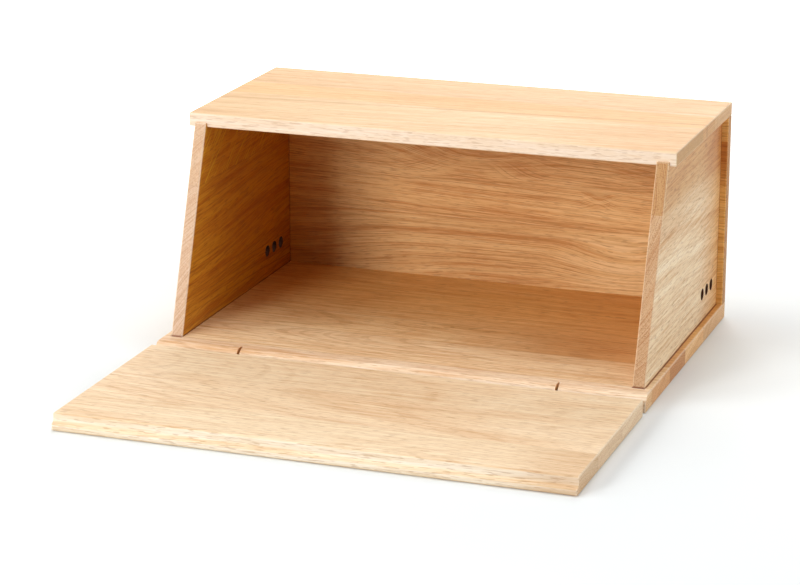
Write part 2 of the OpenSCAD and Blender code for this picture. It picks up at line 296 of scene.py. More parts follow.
def ring_places(tree, along, across, through, pith, lean, bend, number):
    """Which ring it is, and where the fibres run, once both are bent."""
    flat = add(tree, "CombineXYZ", {0: across, 1: through})
    radius, flow = pith_distance(tree, along, flat, pith, lean)
    radius = add(tree, "Math", {0: radius, 1: bend}).outputs[0]
    radius = add(tree, "Math", {0: number, 1: STAVE_SHIFT, 2: radius},
                 operation="MULTIPLY_ADD").outputs[0]
    flow = add(tree, "Math", {0: flow, 1: bend}).outputs[0]
    return radius, flow


print("each stave's rings are", STAVE_SHIFT, "mm on from the last one's")

# %% [markdown]
# ## Earlywood and latewood
# In a year the tree lays down soft pale wood and then a thin line of harder, darker wood.
# In rubberwood the line is faint and comes and goes. Noise along the radius gives both:
# a slow one for soft bands of tone, and a fast one whose highest places are the lines.
# The lines are broken up by the fibres, and fade out in patches.

# %% Bands and lines
BANDS_PER_MM = 0.13      # soft bands some 8 mm apart
LINES_PER_MM = 1.15      # lines some 1 mm apart

# A noise lies round 0.5. A pattern is absent below the first level and full past the
# second, so the higher these are, the less of it there is.
SHOWN = {
    "lines": (0.55, 0.66),
    "patches": (0.4, 0.56),
    "strokes": (0.57, 0.64),
    "vessels": (0.58, 0.65),
    "flecks": (0.54, 0.62),
}


def levels(pattern):
    """The inputs of a Map Range that picks a pattern out of its noise."""
    return {1: SHOWN[pattern][0], 2: SHOWN[pattern][1]}


def ring_noises(tree, radius, coarse):
    """The noise of the soft bands, and that of the lines."""
    bands = add(tree, "TexNoise", {"W": radius, "Scale": BANDS_PER_MM, "Detail": 3.0,
                                   "Roughness": 0.6}, noise_dimensions="1D").outputs[0]
    ringed = add(tree, "TexNoise", {"W": radius, "Scale": LINES_PER_MM / coarse ** 0.5,
                                    "Detail": 1.0}, noise_dimensions="1D").outputs[0]
    return bands, ringed


def latewood(tree, ringed, look):
    """Thin lines of latewood, broken by the fibres and only in patches."""
    lines = add(tree, "MapRange", {0: ringed, **levels("lines")},
                interpolation_type="SMOOTHSTEP").outputs[0]
    broken = add(tree, "MapRange", {0: look["fibre"], 1: 0.35, 2: 0.58, 3: 0.3,
                                    4: 1.0}).outputs[0]
    lines = add(tree, "Math", {0: lines, 1: broken}, operation="MULTIPLY").outputs[0]
    patches = add(tree, "MapRange", {0: look["patches"], **levels("patches")},
                  interpolation_type="SMOOTHSTEP").outputs[0]
    return add(tree, "Math", {0: lines, 1: patches}, operation="MULTIPLY").outputs[0]


print("bands", round(1 / BANDS_PER_MM, 1), "mm apart, lines", round(1 / LINES_PER_MM, 1), "mm")

# %% [markdown]
# ## Fibres and vessels
# The fibres give a board its silky streaks, and the vessels, open tubes that the saw has
# cut along, are short brown strokes. Both could be scratches in the mesh, but there are
# thousands, so they are noise that is stretched along the grain. They follow the rings
# wherever these bend.

# %% Fibres and vessels
# Length and width in mm, then the detail and the roughness of the noise. Fibre is really
# 0.1 mm wide and a vessel 0.3 mm; both are drawn wider, or the picture would not show them.
GRAIN = {
    "patches": (400, 45, 2.0, 0.5),
    "streaks": (130, 2.7, 5.0, 0.7),
    "fibre": (30, 1.0, 3.0, 0.65),
    "strokes": (46, 1.3, 2.0, 0.6),
    "vessels": (11, 0.9, 1.0, 0.5),
}
NOISE_STEP = 17.0      # each pattern is taken from another place in the noise


def grain_noises(tree, far, flow, through, coarse):
    """The noise of each pattern; coarse makes it that many times wider on a face."""
    flowing = add(tree, "CombineXYZ", {0: far, 1: flow, 2: through}).outputs[0]
    look = {}
    for count, (title, (length, width, detail, rough)) in enumerate(GRAIN.items()):
        size = (1 / length, 1 / (width * coarse), 1 / width)
        stretched = add(tree, "VectorMath", {0: flowing, 1: size, 2: (NOISE_STEP * count,) * 3},
                        operation="MULTIPLY_ADD")
        look[title] = add(tree, "TexNoise", {"Vector": stretched.outputs[0], "Scale": 1.0,
                                             "Detail": detail, "Roughness": rough}).outputs[0]
    return look


print("patterns in the grain:", ", ".join(GRAIN))

# %% [markdown]
# ## The tone of bare wood
# Before any stain, wood is a mix of paler and darker fibres. Bands, streaks and fibres
# are added up and the sum picks a colour from pale to tan. One mix of two colours would
# be simpler, but four show the creamy middle in which most of a real board lies. On end
# grain there are no streaks, so the rings take their place.

# %% The tone of bare wood
BAND_SHARE, STREAK_SHARE, FIBRE_SHARE = 0.45, 0.7, 0.5
MIDDLE_TONE = 0.83      # about half of the three shares, as a noise lies round 0.5
CONTRAST = 0.25         # how far from the middle the palest and the darkest fibres are


def bare_tone(tree, bands, ringed, look, on_end, paler, calm):
    """From 0, the palest fibres, to 1, the darkest; calm makes them more alike."""
    arcs = add(tree, "MapRange", {0: ringed, 3: 0.18, 4: 0.82}).outputs[0]
    streaks = add(tree, "Mix", {0: on_end, 2: look["streaks"], 3: arcs}).outputs[0]
    tones = 0.0
    for noise, share in ((bands, BAND_SHARE), (streaks, STREAK_SHARE),
                         (look["fibre"], FIBRE_SHARE)):
        tones = add(tree, "Math", {0: noise, 1: share, 2: tones},
                    operation="MULTIPLY_ADD").outputs[0]
    tones = add(tree, "MapRange", {0: tones, 1: MIDDLE_TONE - CONTRAST * calm,
                                   2: MIDDLE_TONE + CONTRAST * calm}).outputs[0]
    return add(tree, "Math", {0: tones, 1: paler}, operation="SUBTRACT").outputs[0]


def edge_tone_and_light(tree, turned, axis, tone, tones, edge):
    """A long narrow edge, planed apart from the face, can be paler, with its own tone.
    Its paler, cooler tone is partly painted light from the front.
    """
    colour, paler = edge
    on_edge = looks_along(tree, turned, axis, NARROW_EDGE)
    tone = add(tree, "Mix", {0: on_edge, 6: tone, 7: linear(colour)},
               data_type="RGBA").outputs[2]
    tones = add(tree, "Math", {0: on_edge, 1: -paler, 2: tones},
                operation="MULTIPLY_ADD").outputs[0]
    return tone, tones


def bare_colour(tree, tones, tone):
    """The colour of the fibres, times the tone of the stave."""
    ramp = add(tree, "ValToRGB", {0: tones})
    stops = ramp.color_ramp.elements
    (palest, first), *between, (darkest, last) = BARE_WOOD
    stops[0].position, stops[0].color = palest, linear(first)
    stops[1].position, stops[1].color = darkest, linear(last)
    for at, colour in between:
        stops.new(at).color = linear(colour)
    return add(tree, "Mix", {0: 1.0, 6: ramp.outputs[0], 7: tone}, data_type="RGBA",
               blend_type="MULTIPLY").outputs[2]


print("the middle tone of bare wood:", MIDDLE_TONE)

# %% [markdown]
# ## Brown lines and ray flecks
# Some brown lines of a board are seen from afar, and each is drawn at its own place,
# with the wobble of the rings in it. Where a board is sawn along a radius, the tree's
# rays come to the surface as short pale flecks that cross the grain at a slant. Both
# could be modelled as grooves, but sanded wood is flat, so they are colour alone.

# %% Brown lines and ray flecks
RAY_SIZE = (34, 1.9, 1.9)        # mm
RAY_SLANT = math.radians(35)
WOBBLE_SHARE = 0.4               # of the rings' wobble, in a single brown line


def stain(tree, wood, where, strength, colour):
    """The wood with a colour over it."""
    amount = add(tree, "Math", {0: where, 1: strength}, operation="MULTIPLY").outputs[0]
    return add(tree, "Mix", {0: amount, 6: wood, 7: linear(colour)}, data_type="RGBA").outputs[2]


def brown_line(tree, along, across, wobble, middle, slope, half):
    """1 on a single line, which fades to 0 at half its width to either side."""
    path = add(tree, "Math", {0: along, 1: slope, 2: middle},
               operation="MULTIPLY_ADD").outputs[0]
    path = add(tree, "Math", {0: wobble, 1: WOBBLE_SHARE, 2: path},
               operation="MULTIPLY_ADD").outputs[0]
    away = add(tree, "Math", {0: across, 1: path}, operation="SUBTRACT").outputs[0]
    away = add(tree, "Math", {0: away}, operation="ABSOLUTE").outputs[0]
    return add(tree, "MapRange", {0: away, 1: 0.0, 2: half, 3: 1.0, 4: 0.0},
               interpolation_type="SMOOTHSTEP").outputs[0]


def ray_flecks(tree, grain, through, beyond, on_end, number):
    """1 on the flecks, past one place through the board and in its upper stave only."""
    flecks = add(tree, "Mapping", {0: grain, 2: (0, 0, RAY_SLANT), 3: RAY_SIZE},
                 vector_type="TEXTURE").outputs[0]
    flecks = add(tree, "TexNoise", {"Vector": flecks, "Scale": 1.0, "Detail": 2.0}).outputs[0]
    flecks = add(tree, "MapRange", {0: flecks, **levels("flecks")}).outputs[0]
    where = add(tree, "Math", {0: through, 1: beyond}, operation="GREATER_THAN").outputs[0]
    where = add(tree, "Math", {0: where, 1: on_end}, operation="SUBTRACT",
                use_clamp=True).outputs[0]
    where = add(tree, "Math", {0: where, 1: number}, operation="MULTIPLY").outputs[0]
    return add(tree, "Math", {0: flecks, 1: where}, operation="MULTIPLY").outputs[0]


print("ray flecks:", RAY_SIZE[0], "mm long and", RAY_SIZE[1], "mm wide")

# %% [markdown]
# ## Light, oil and painted shade
# Daylight bleaches the outside of a box and calms its figure, and oil goes deeper in
# some places than in others, so one face of a board is seldom one tone. Many of the
# tints, though, are painted shade: they darken a face where shade falls on it. A tint
# could be painted on, but one that turns smoothly between two places, on one face alone,
# stays part of the recipe. The dark line where one board meets another is the same
# thing, a millimetre or so wide.

# %% Light, oil and painted shade
PLAIN = "#FFFFFF"      # changes nothing


def bleach(tree, wood, tone, through, beyond, amount):
    """Wood that is plainer below one place through the board."""
    outdoors = add(tree, "Math", {0: through, 1: beyond}, operation="LESS_THAN").outputs[0]
    outdoors = add(tree, "Math", {0: outdoors, 1: amount}, operation="MULTIPLY").outputs[0]
    plain = add(tree, "Mix", {0: 1.0, 6: linear(CREAM), 7: tone}, data_type="RGBA",
                blend_type="MULTIPLY").outputs[2]
    return add(tree, "Mix", {0: outdoors, 6: wood, 7: plain}, data_type="RGBA").outputs[2]


def oiled(tree, wood, split, axis, start, stop, first, second, limits):
    """Wood with a tint that turns smoothly from the first at start to the second at stop.
    Tints give dark joints, painted shade, oil and other changes of tone.

    limits: (axis, low, high), in mm; the tint is left out beyond them.
    """
    tint = add(tree, "MapRange", {0: split.outputs[axis], 1: start, 2: stop},
               interpolation_type="SMOOTHSTEP").outputs[0]
    tint = add(tree, "Mix", {0: tint, 6: linear(first), 7: linear(second)},
               data_type="RGBA").outputs[2]
    inside = 1.0
    for limited, low, high in limits:
        for value, kind in ((low, "GREATER_THAN"), (high, "LESS_THAN")):
            hit = add(tree, "Math", {0: split.outputs[limited], 1: value},
                      operation=kind).outputs[0]
            inside = add(tree, "Math", {0: inside, 1: hit}, operation="MULTIPLY").outputs[0]
    return add(tree, "Mix", {0: inside, 6: wood, 7: tint}, data_type="RGBA",
               blend_type="MULTIPLY").outputs[2]


def joint(axis, start, stop, *limits):
    """The dark line where another board meets this one at start, gone at stop."""
    return axis, start, stop, JOINT, PLAIN, limits


print("a tint of", PLAIN, "changes nothing, and a joint starts at", JOINT)

# %% [markdown]
# ## Worn arrises and painted highlights
# Sanding and handling leave the arrises of a board paler than its faces, and the pale
# line is also a painted highlight, standing in for the light that a rounded arris
# catches. On a box the distance to an arris is the second smallest of the distances to
# its faces. The sides lean at the front, so their front face gets a plane of its own. A
# Bevel node can find edges by itself, but it works in Cycles alone and makes a picture
# slower.

# %% How far from an arris?
FRONT_LEAN = math.radians(18.75)
FRONT_FOOT = (-240.5, 13.5)      # mm: a point of the sides' front face, in Y and Z
ARRIS = (0.6, 1.3)               # mm: the paler wear and painted highlight are full up to the first, gone at the second
PALER_AHEAD_OF = -60.0            # mm in Y; a side's arrises are paler, worn and with a painted highlight, at its front alone


def front_distance(tree, mm):
    """How far it is to the leaning front face of a side."""
    plane = (0, math.cos(FRONT_LEAN), -math.sin(FRONT_LEAN))
    foot = plane[1] * FRONT_FOOT[0] + plane[2] * FRONT_FOOT[1]
    front = add(tree, "VectorMath", {0: mm, 1: plane}, operation="DOT_PRODUCT").outputs["Value"]
    return add(tree, "Math", {0: front, 1: foot}, operation="SUBTRACT").outputs[0]


def arris_distance(tree, mm, node_name, is_side):
    """The second smallest distance to a face of the board."""
    low, high = (Vector(corner) * MM - Vector((0, MM * REAR_Y, 0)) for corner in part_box(node_name))
    inward = add(tree, "VectorMath", {0: mm, 1: tuple((low + high) / 2)}, operation="SUBTRACT")
    inward = add(tree, "VectorMath", {0: inward.outputs[0]}, operation="ABSOLUTE")
    inward = add(tree, "VectorMath", {0: tuple((high - low) / 2), 1: inward.outputs[0]},
                 operation="SUBTRACT")
    x, y, z = add(tree, "SeparateXYZ", {0: inward.outputs[0]}).outputs[:3]
    if is_side:
        y = add(tree, "Math", {0: y, 1: front_distance(tree, mm)}, operation="MINIMUM").outputs[0]
    smaller = add(tree, "Math", {0: x, 1: y}, operation="MINIMUM").outputs[0]
    larger = add(tree, "Math", {0: x, 1: y}, operation="MAXIMUM").outputs[0]
    larger = add(tree, "Math", {0: larger, 1: z}, operation="MINIMUM").outputs[0]
    return add(tree, "Math", {0: smaller, 1: larger}, operation="MAXIMUM").outputs[0]


def wear_and_highlight(tree, wood, mm, split, node_name, worn_and_highlit, is_side):
    """Wood that is paler along its arrises: partly wear, partly a painted highlight."""
    near = arris_distance(tree, mm, node_name, is_side)
    near = add(tree, "MapRange", {0: near, 1: ARRIS[0], 2: ARRIS[1], 3: worn_and_highlit, 4: 0.0}).outputs[0]
    if is_side:
        ahead_of = add(tree, "Math", {0: split.outputs["Y"], 1: PALER_AHEAD_OF},
                       operation="LESS_THAN").outputs[0]
        near = add(tree, "Math", {0: near, 1: ahead_of}, operation="MULTIPLY").outputs[0]
    return add(tree, "Mix", {0: near, 6: wood, 7: linear(PALE)}, data_type="RGBA").outputs[2]


print("arrises are worn up to", ARRIS[1], "mm in")

# %% [markdown]
# ## Air holes
# The air holes are dark inside, and that dark brown is painted shade: the wood near the
# axis of a hole is painted dark brown, and nothing else is. The holes' faces belong to
# the same CAD piece as the board, so they are found by their place.

# %% Painted shade in the air holes
FIRST_HOLE, HOLES_APART, HOLES = -31, 15, 3      # mm in Y, mm, and how many
HOLES_UP, HOLE_SHADE_TO = 36.5, 4.9                # mm in Z, and mm from a hole's axis


def shade_in_air_holes(tree, split):
    """1 near the axis of any of the air holes, 0 elsewhere."""
    run = add(tree, "Math", {0: split.outputs["Y"], 1: FIRST_HOLE}, operation="SUBTRACT").outputs[0]
    near = add(tree, "Math", {0: run, 1: HOLES_APART / 2, 2: -HOLES_APART / 2},
               operation="WRAP").outputs[0]
    rise = add(tree, "Math", {0: split.outputs["Z"], 1: HOLES_UP}, operation="SUBTRACT").outputs[0]
    off = add(tree, "CombineXYZ", {0: near, 1: rise})
    off = add(tree, "VectorMath", {0: off.outputs[0]}, operation="LENGTH").outputs["Value"]
    hole_shade = add(tree, "Math", {0: off, 1: HOLE_SHADE_TO}, operation="LESS_THAN").outputs[0]
    in_row = add(tree, "Math", {0: run, 1: (HOLES - 1) * HOLES_APART / 2}).outputs[0]
    in_row = add(tree, "Math", {0: in_row}, operation="ABSOLUTE").outputs[0]
    in_row = add(tree, "Math", {0: in_row, 1: HOLES * HOLES_APART / 2},
                 operation="LESS_THAN").outputs[0]
    return add(tree, "Math", {0: hole_shade, 1: in_row}, operation="MULTIPLY").outputs[0]


print("air holes:", HOLES, "in each side,", HOLES_APART, "mm apart")

# %% [markdown]
# ## The stains of a board
# Latewood, vessels and glue lines are darker than the fibres round them, each in a brown
# of its own. Each could be a layer of its own in a paint program. Here each is a row in
# a list: where it is, how strong it is, and its colour.

# %% The stains of a board
GLUE_LINE = (0.25, 0.55)      # mm: full up to the first, gone at the second


def board_stains(tree, look, ringed, seam, coarse, rings, strokes, pores, glue):
    """Lines, strokes, vessels and glue lines, each as (where, how strong, colour)."""
    lines = latewood(tree, ringed, look)
    stroke = add(tree, "MapRange", {0: look["strokes"], **levels("strokes")}).outputs[0]
    vessels = add(tree, "MapRange", {0: look["vessels"], **levels("vessels")}).outputs[0]
    glued = add(tree, "MapRange", {0: seam, 1: GLUE_LINE[0], 2: GLUE_LINE[1] * coarse,
                                   3: 1.0, 4: 0.0}).outputs[0]
    return vessels, [(lines, rings, RING_BROWN), (stroke, strokes, STROKE_BROWN),
                     (vessels, pores, PORE_BROWN), (glued, glue, GLUE_BROWN)]


print("glue lines are", 2 * GLUE_LINE[1], "mm wide")

# %% [markdown]
# ## The surface of oiled wood
# Oil soaks in and leaves no film, so rubberwood that is oiled is matt, with a soft sheen
# where the light is low. Its vessels are open grooves, and its darker streaks stand a
# little proud and are a little duller. A clear coat over the wood could give the sheen,
# but the wood would look varnished.

# %% The surface of oiled wood
ROUGHNESS = (0.46, 0.58)      # of the palest streaks, and of the darkest
RELIEF_MM = 0.3               # the height that the relief below is a share of
GROOVE, RIDGE = -0.6, 0.5     # how deep a vessel is, and how high a streak
SHEEN = 0.35                  # the specular level; 0.5 is usual, for a closed surface


def matt_oil(tree, shader, look, vessels, hole_shade):
    """The shine and the relief of oiled wood; the painted shade in the air holes has no shine."""
    smooth, rough = ROUGHNESS
    dull = add(tree, "MapRange", {0: look["streaks"], 1: 0.3, 2: 0.7, 3: smooth,
                                  4: rough}).outputs[0]
    if hole_shade is not None:
        dull = add(tree, "Mix", {0: hole_shade, 2: dull, 3: 1.0}).outputs[0]
    relief = 0.0
    for pattern, height in ((vessels, GROOVE), (look["streaks"], RIDGE)):
        relief = add(tree, "Math", {0: pattern, 1: height, 2: relief},
                     operation="MULTIPLY_ADD").outputs[0]
    bump = add(tree, "Bump", {"Height": relief, "Strength": 0.35,
                              "Distance": RELIEF_MM / MM})
    tree.links.new(dull, shader.inputs["Roughness"])
    tree.links.new(bump.outputs[0], shader.inputs["Normal"])
    shader.inputs["Specular IOR Level"].default_value = SHEEN


print("the roughness of oiled wood:", ROUGHNESS)

# %% [markdown]
# ## The whole board
# The parts come together in the order in which they colour real wood: the bare tone of
# the fibres first, then the brown stains over it, then light, oil and painted shade, the
# end grain, which drinks more oil than a face does, the paler arrises, which also carry a
# painted highlight, and last the painted shade in the air holes. All boards share one
# recipe with other values, because one recipe is easier to get right than six.

# %% One material for a board
def rubberwood(name, node_name, axes, staves, marks=(), branches=(), wild=8.0, rings=0.4,
               pores=0.4, strokes=0.35, coarse=1.0, calm=1.0, glue=0.35, rays=None, edge=None,
               bleached=None, oil_and_shade=(), worn_and_highlit=0.3, is_side=False):
    """Rubberwood for one board. pick_stave, bend_at_branches and oiled say what staves,
    branches and tints hold. Tints give dark joints, painted shade and other changes of tone.

    axes: the axes that run along the grain, across it and through the board.
    marks: single brown lines, each (across at the middle, slope, half width, strength).
    wild: how far the rings wander, in mm.
    rings, pores, strokes, glue, worn: how strong each of these is, from 0 to 1.
    coarse: how many times wider the grain is drawn on a face that is seen at a slant.
    calm: how many times weaker its changes of tone are.
    rays: (place through the board, strength); flecks show past that place.
    edge: (tone of its long narrow edges, how much paler they are).
    bleached: (place through the board, amount); the wood is plainer below that place.
    is_side: it has air holes and leans at the front.
    """
    material, tree, shader = fresh(name)
    mm, split, turned = places_in_mm(tree)
    along, across, through = (split.outputs[axis] for axis in axes)
    on_end = looks_along(tree, turned, axes[0], END_GRAIN)
    tone, pith, lean, number, end, seam = pick_stave(tree, across, staves)

    # Where the rings and the fibres run
    far = add(tree, "Math", {0: number, 1: STAVE_SHIFT, 2: along},
              operation="MULTIPLY_ADD").outputs[0]
    grain = add(tree, "CombineXYZ", {0: far, 1: across, 2: through}).outputs[0]
    wobble = slow_wobble(tree, grain, wild)
    bend, paler = bend_at_branches(tree, along, across, wobble, branches)
    radius, flow = ring_places(tree, along, across, through, pith, lean, bend, number)
    look = grain_noises(tree, far, flow, through, coarse)
    bands, ringed = ring_noises(tree, radius, coarse)

    # Bare wood, and the stains over it
    tones = bare_tone(tree, bands, ringed, look, on_end, paler, calm)
    if edge:
        tone, tones = edge_tone_and_light(tree, turned, axes[1], tone, tones, edge)
    wood = bare_colour(tree, tones, tone)
    vessels, stains = board_stains(tree, look, ringed, seam, coarse, rings, strokes, pores, glue)
    for middle, slope, half, strength in marks:
        line = brown_line(tree, along, across, wobble, middle, slope, half)
        stains.append((line, strength, RING_BROWN))
    if rays:
        beyond, strength = rays
        flecks = ray_flecks(tree, grain, through, beyond, on_end, number)
        stains.append((flecks, strength, PALE))
    for where, strength, colour in stains:
        wood = stain(tree, wood, where, strength, colour)

    # Light, oil and painted shade, the end grain, paler arrises that carry a painted highlight, and
    # painted shade in the air holes
    if bleached:
        wood = bleach(tree, wood, tone, through, *bleached)
    for tint in oil_and_shade:
        wood = oiled(tree, wood, split, *tint)
    wood = add(tree, "Mix", {0: on_end, 6: wood, 7: end}, data_type="RGBA",
               blend_type="MULTIPLY").outputs[2]
    if worn_and_highlit:
        wood = wear_and_highlight(tree, wood, mm, split, node_name, worn_and_highlit, is_side)
    # Painted shade: the wood round the axes of the air holes is painted dark brown
    hole_shade = shade_in_air_holes(tree, split) if is_side else None
    if is_side:
        wood = add(tree, "Mix", {0: hole_shade, 6: wood, 7: linear(HOLE_SHADE)},
                   data_type="RGBA").outputs[2]
    tree.links.new(wood, shader.inputs["Base Color"])
    matt_oil(tree, shader, look, vessels, hole_shade)
    print(name, "has", len(staves), "staves and", len(tree.nodes), "nodes")
    return material


print("the recipe for a board is ready")

# %% [markdown]
# ## Faces for a tint
# A tint is meant for one face of a board, such as the inside of a side. The
# faces could be picked by hand, but a pair of limits that holds only that face says the
# same in one line, and still holds if the mesh changes. The sides' faces are 184.5 and
# 194.5 mm from the middle of the box.

# %% Faces for a tint
FAR = 999      # mm, past any board
ON_TOP = ("Z", 182, FAR)
ON_BASE = ("Z", 13, 14)
ON_BACK = ("Y", -10.3, -9.7)
BETWEEN_SIDES, PAST_RIGHT_SIDE = ("X", -184.9, 184.9), ("X", 184.9, FAR)
LEFT_INSIDE, RIGHT_INSIDE = ("X", -184.8, 0), ("X", 0, 184.8)
LEFT_OUTSIDE, RIGHT_OUTSIDE = ("X", -FAR, -194.3), ("X", 194.3, FAR)
ALL_OVER = ("X", -FAR, FAR)
print("the upper face of the base is found between", ON_BASE[1], "and", ON_BASE[2], "mm up")

# %% [markdown]
# ## The top
# The top is one wide board of three staves. It was sawn a little askew, so its lines
# lean from its length, and a few of them are strong and brown. It is seen at a low
# slant, where a pixel covers more of the wood, so its grain is drawn coarser. The long
# front edge, planed last, is paler than the face, and its paler, cooler tone is partly
# painted light from the front. A tilt of the pith gives the lean, which keeps the face
# and the end grain in step.

# %% The top
dress("top_board", rubberwood(
    "oiled rubberwood, top", "top_board", "XYZ",
    [(-184, "#F1DEC6", -150, -260, 0.087, 0.01, "#D9C7A4"),
     (-100, "#F2D4AE", -60, -245, 0.087, -0.01, "#E6D9C4"),
     (-60, "#F1D9BF", -30, -280, 0.05, 0.01, "#EDE1CC")],
    marks=[(-104.3, 0.087, 3.4, 0.55), (-52, 0.0, 2.4, 0.3),
           (-143, -0.02, 2.2, 0.16), (-168, 0.03, 2.2, 0.16)],
    wild=4.0, rings=0.16, pores=0.3, strokes=0.2, coarse=1.5, calm=1.4, glue=0.05,
    edge=("#F5ECED", 0.3),
    # Both tints make the face a little darker toward the right.
    oil_and_shade=[("X", -120, 40, PLAIN, "#FAF3EA", [ON_TOP, ("Y", -105, -60)]),
         ("X", 60, 170, PLAIN, "#F7ECDD", [ON_TOP, ("Y", -FAR, -105)])]))

# %% [markdown]
# ## The base
# The base is glued up from five staves. Their end grain shows on its right end, each in
# a tone of its own, for each drank its own share of oil. Its face has arches round two
# old branches and a dark line at the foot of each side. It is yellower and darker to the
# rear and darker to the right, which is painted shade.

# %% The base
dress("base_board", rubberwood(
    "oiled rubberwood, base", "base_board", "XYZ",
    [(-259, "#FFF6F4", -250, -90, 0.0, 0.02, "#F6E3C5"),
     (-240, "#FEEEDC", -200, -60, 0.03, 0.05, "#F0D4B7"),
     (-185, "#FFEBD2", -160, -50, -0.02, -0.06, "#D7B495"),
     (-137, "#FFEAD0", -100, -70, 0.04, 0.04, "#FFF3E2"),
     (-75, "#F8E1C4", -30, -60, 0.0, 0.05, "#F3E9E1")],
    branches=[(125, -82, 70, 16, 9, 0.0), (20, -150, 90, 14, 6, 0.0)],
    rings=0.4, strokes=0.3, coarse=1.3, calm=0.85,
    # Painted shade: the upper face darkens and yellows toward the rear, and darkens toward the
    # right.
    oil_and_shade=[("Y", -60, -225, "#FBECC0", PLAIN, [ON_BASE, ("Y", -240, 0)]),
         ("X", 10, 150, PLAIN, "#F8EADA", [ON_BASE, ("Y", -137, 0)]),
         ("X", 30, 125, PLAIN, "#EAD4BD", [ON_BASE, ("Y", -185, -137)]),
         joint("X", 194.8, 195.8, ("X", 194.7, FAR), ON_BASE, ("Y", -238, 0)),
         joint("X", -194.8, -195.8, ("X", -FAR, -194.7), ON_BASE, ("Y", -238, 0))]))

# %% [markdown]
# ## The flap
# The flap is the cutting board that closes the front. It is the palest board, of three
# wide and even staves, because a board for cutting is picked with care and scrubbed
# often. Its rings and glue lines are therefore faint, and its front edge is paler still,
# with a cooler tone that is partly painted light from the front.

# %% The flap
dress("front_flap", rubberwood(
    "oiled rubberwood, flap", "front_flap", "XYZ",
    [(-444, "#FFFAF4", -420, -170, 0.02, 0.03, "#FFFFFF"),
     (-390, "#FEF4EB", -350, -160, -0.03, 0.04, "#FAF8F6"),
     (-325, "#FFF7EF", -300, -180, 0.02, -0.05, "#FFFEFE")],
    wild=5.0, rings=0.2, pores=0.4, strokes=0.22, coarse=1.2, calm=1.2, glue=0.1,
    edge=("#F5F1F0", 0.3),
    # The tint makes the front of the flap a little darker toward its right end.
    oil_and_shade=[("X", 130, 190, PLAIN, "#EDE1D6", [("Y", -FAR, -390)])]))

# %% [markdown]
# ## The back
# The back has the boldest figure: tall arches and closed arcs, brown lines between them,
# and pale places where branches grew. Two pale places, one at the left and one on the
# strip past the right side, are painted light, and the pale branch low at the right is
# partly painted light. It stands upright, so its grain runs along X and its staves are
# stacked in Z. Branches are placed one by one, because a board's figure is what people
# remember of it. Its face is darker from the middle to the left end, which is painted
# shade. A narrow strip of it shows past the right side, in a warmer tone that is painted
# shade, and a dark line marks each side's joint.

# %% The back
dress("back_panel", rubberwood(
    "oiled rubberwood, back", "back_panel", "XZY",
    [(0, "#FFE7CD", -42, -60, 0.03, 0.02, "#C4A470"),
     (67, "#FFE5C9", 215, -45, -0.03, 0.03, "#C4A470")],
    # Of these branches, the pale patches at x -125 mm and x 196 mm are painted light, and the pale
    # branch at x 122 mm is partly painted light.
    branches=[(122, 38, 85, 34, 13, 0.38), (92, 92, 18, 13, 4.5, 0.0),
              (-20, 122, 85, 26, 14, -0.1), (155, 118, 70, 26, 6, -0.22),
              (-125, 100, 60, 90, 0, 0.2), (196, 90, 16, 400, 0, 0.2)],
    marks=[(71, 0.0, 1.3, 0.4), (60, -0.03, 1.5, 0.35),
           (101, 0.02, 1.2, 0.3), (136, 0.015, 1.2, 0.3)],
    rings=0.75, pores=0.4, strokes=0.4, calm=0.58, worn_and_highlit=0.0,
    # Painted shade: the inside grows darker and more golden toward the left end, and darker from x
    # 20 mm leftward; the strip past the right side gets a warmer tone that is painted shade. The
    # strip is also darker from 100 mm up to 152 mm.
    oil_and_shade=[("X", -195, -130, "#EDC666", "#F4EED7", [ON_BACK, BETWEEN_SIDES]),
         ("X", 20, 115, "#F4EADF", PLAIN, [ON_BACK, BETWEEN_SIDES]),
         ("X", 185, 186, PLAIN, "#FFEBB0", [ON_BACK, PAST_RIGHT_SIDE]),
         ("Z", 100, 140, PLAIN, "#D6AE80", [ON_BACK, PAST_RIGHT_SIDE, ("Z", 0, 152)]),
         joint("X", -184.8, -183.2, ON_BACK, ("X", -184.9, 0)),
         joint("X", 184.8, 183.2, ON_BACK, ("X", 0, 184.9))]))

# %% [markdown]
# ## The sides
# The sides have fine, straight grain that runs from back to front. Inside, the left one
# is a deep orange brown, which is painted shade, darkest to the rear, with pale ray flecks
# in its upper stave. Outside, both are pale; the right one is darker toward its top, which
# is painted shade under the top board, and darker toward its rear. They share the
# recipe, but not its values: two sides cut from one board would look like twins, and here
# they plainly aren't.

# %% The left side
dress("side_panel_left", rubberwood(
    "oiled rubberwood, left side", "side_panel_left", "YZX",
    # The front edge's end grain gets a pale, cool tone that is partly painted light from the front
    [(0, "#F8E2CC", -20, -60, 0.08, 0.06, "#DFDCE8"),
     (127.7, "#FAE0C2", 60, -90, 0.05, 0.05, "#DCDAE8")],
    rings=0.85, strokes=0.6, coarse=1.5, calm=0.55, rays=(-184.9, 0.95),
    bleached=(-184.9, 0.5), is_side=True,
    # Painted shade: the inside is a deep orange brown, a little darker toward the rear.
    oil_and_shade=[("Y", -110, -235, "#CE9C1C", "#DAB03C", [LEFT_INSIDE]),
         joint("Z", 13.5, 15.0, ALL_OVER),
         joint("Y", -10.0, -11.5, LEFT_OUTSIDE)]))

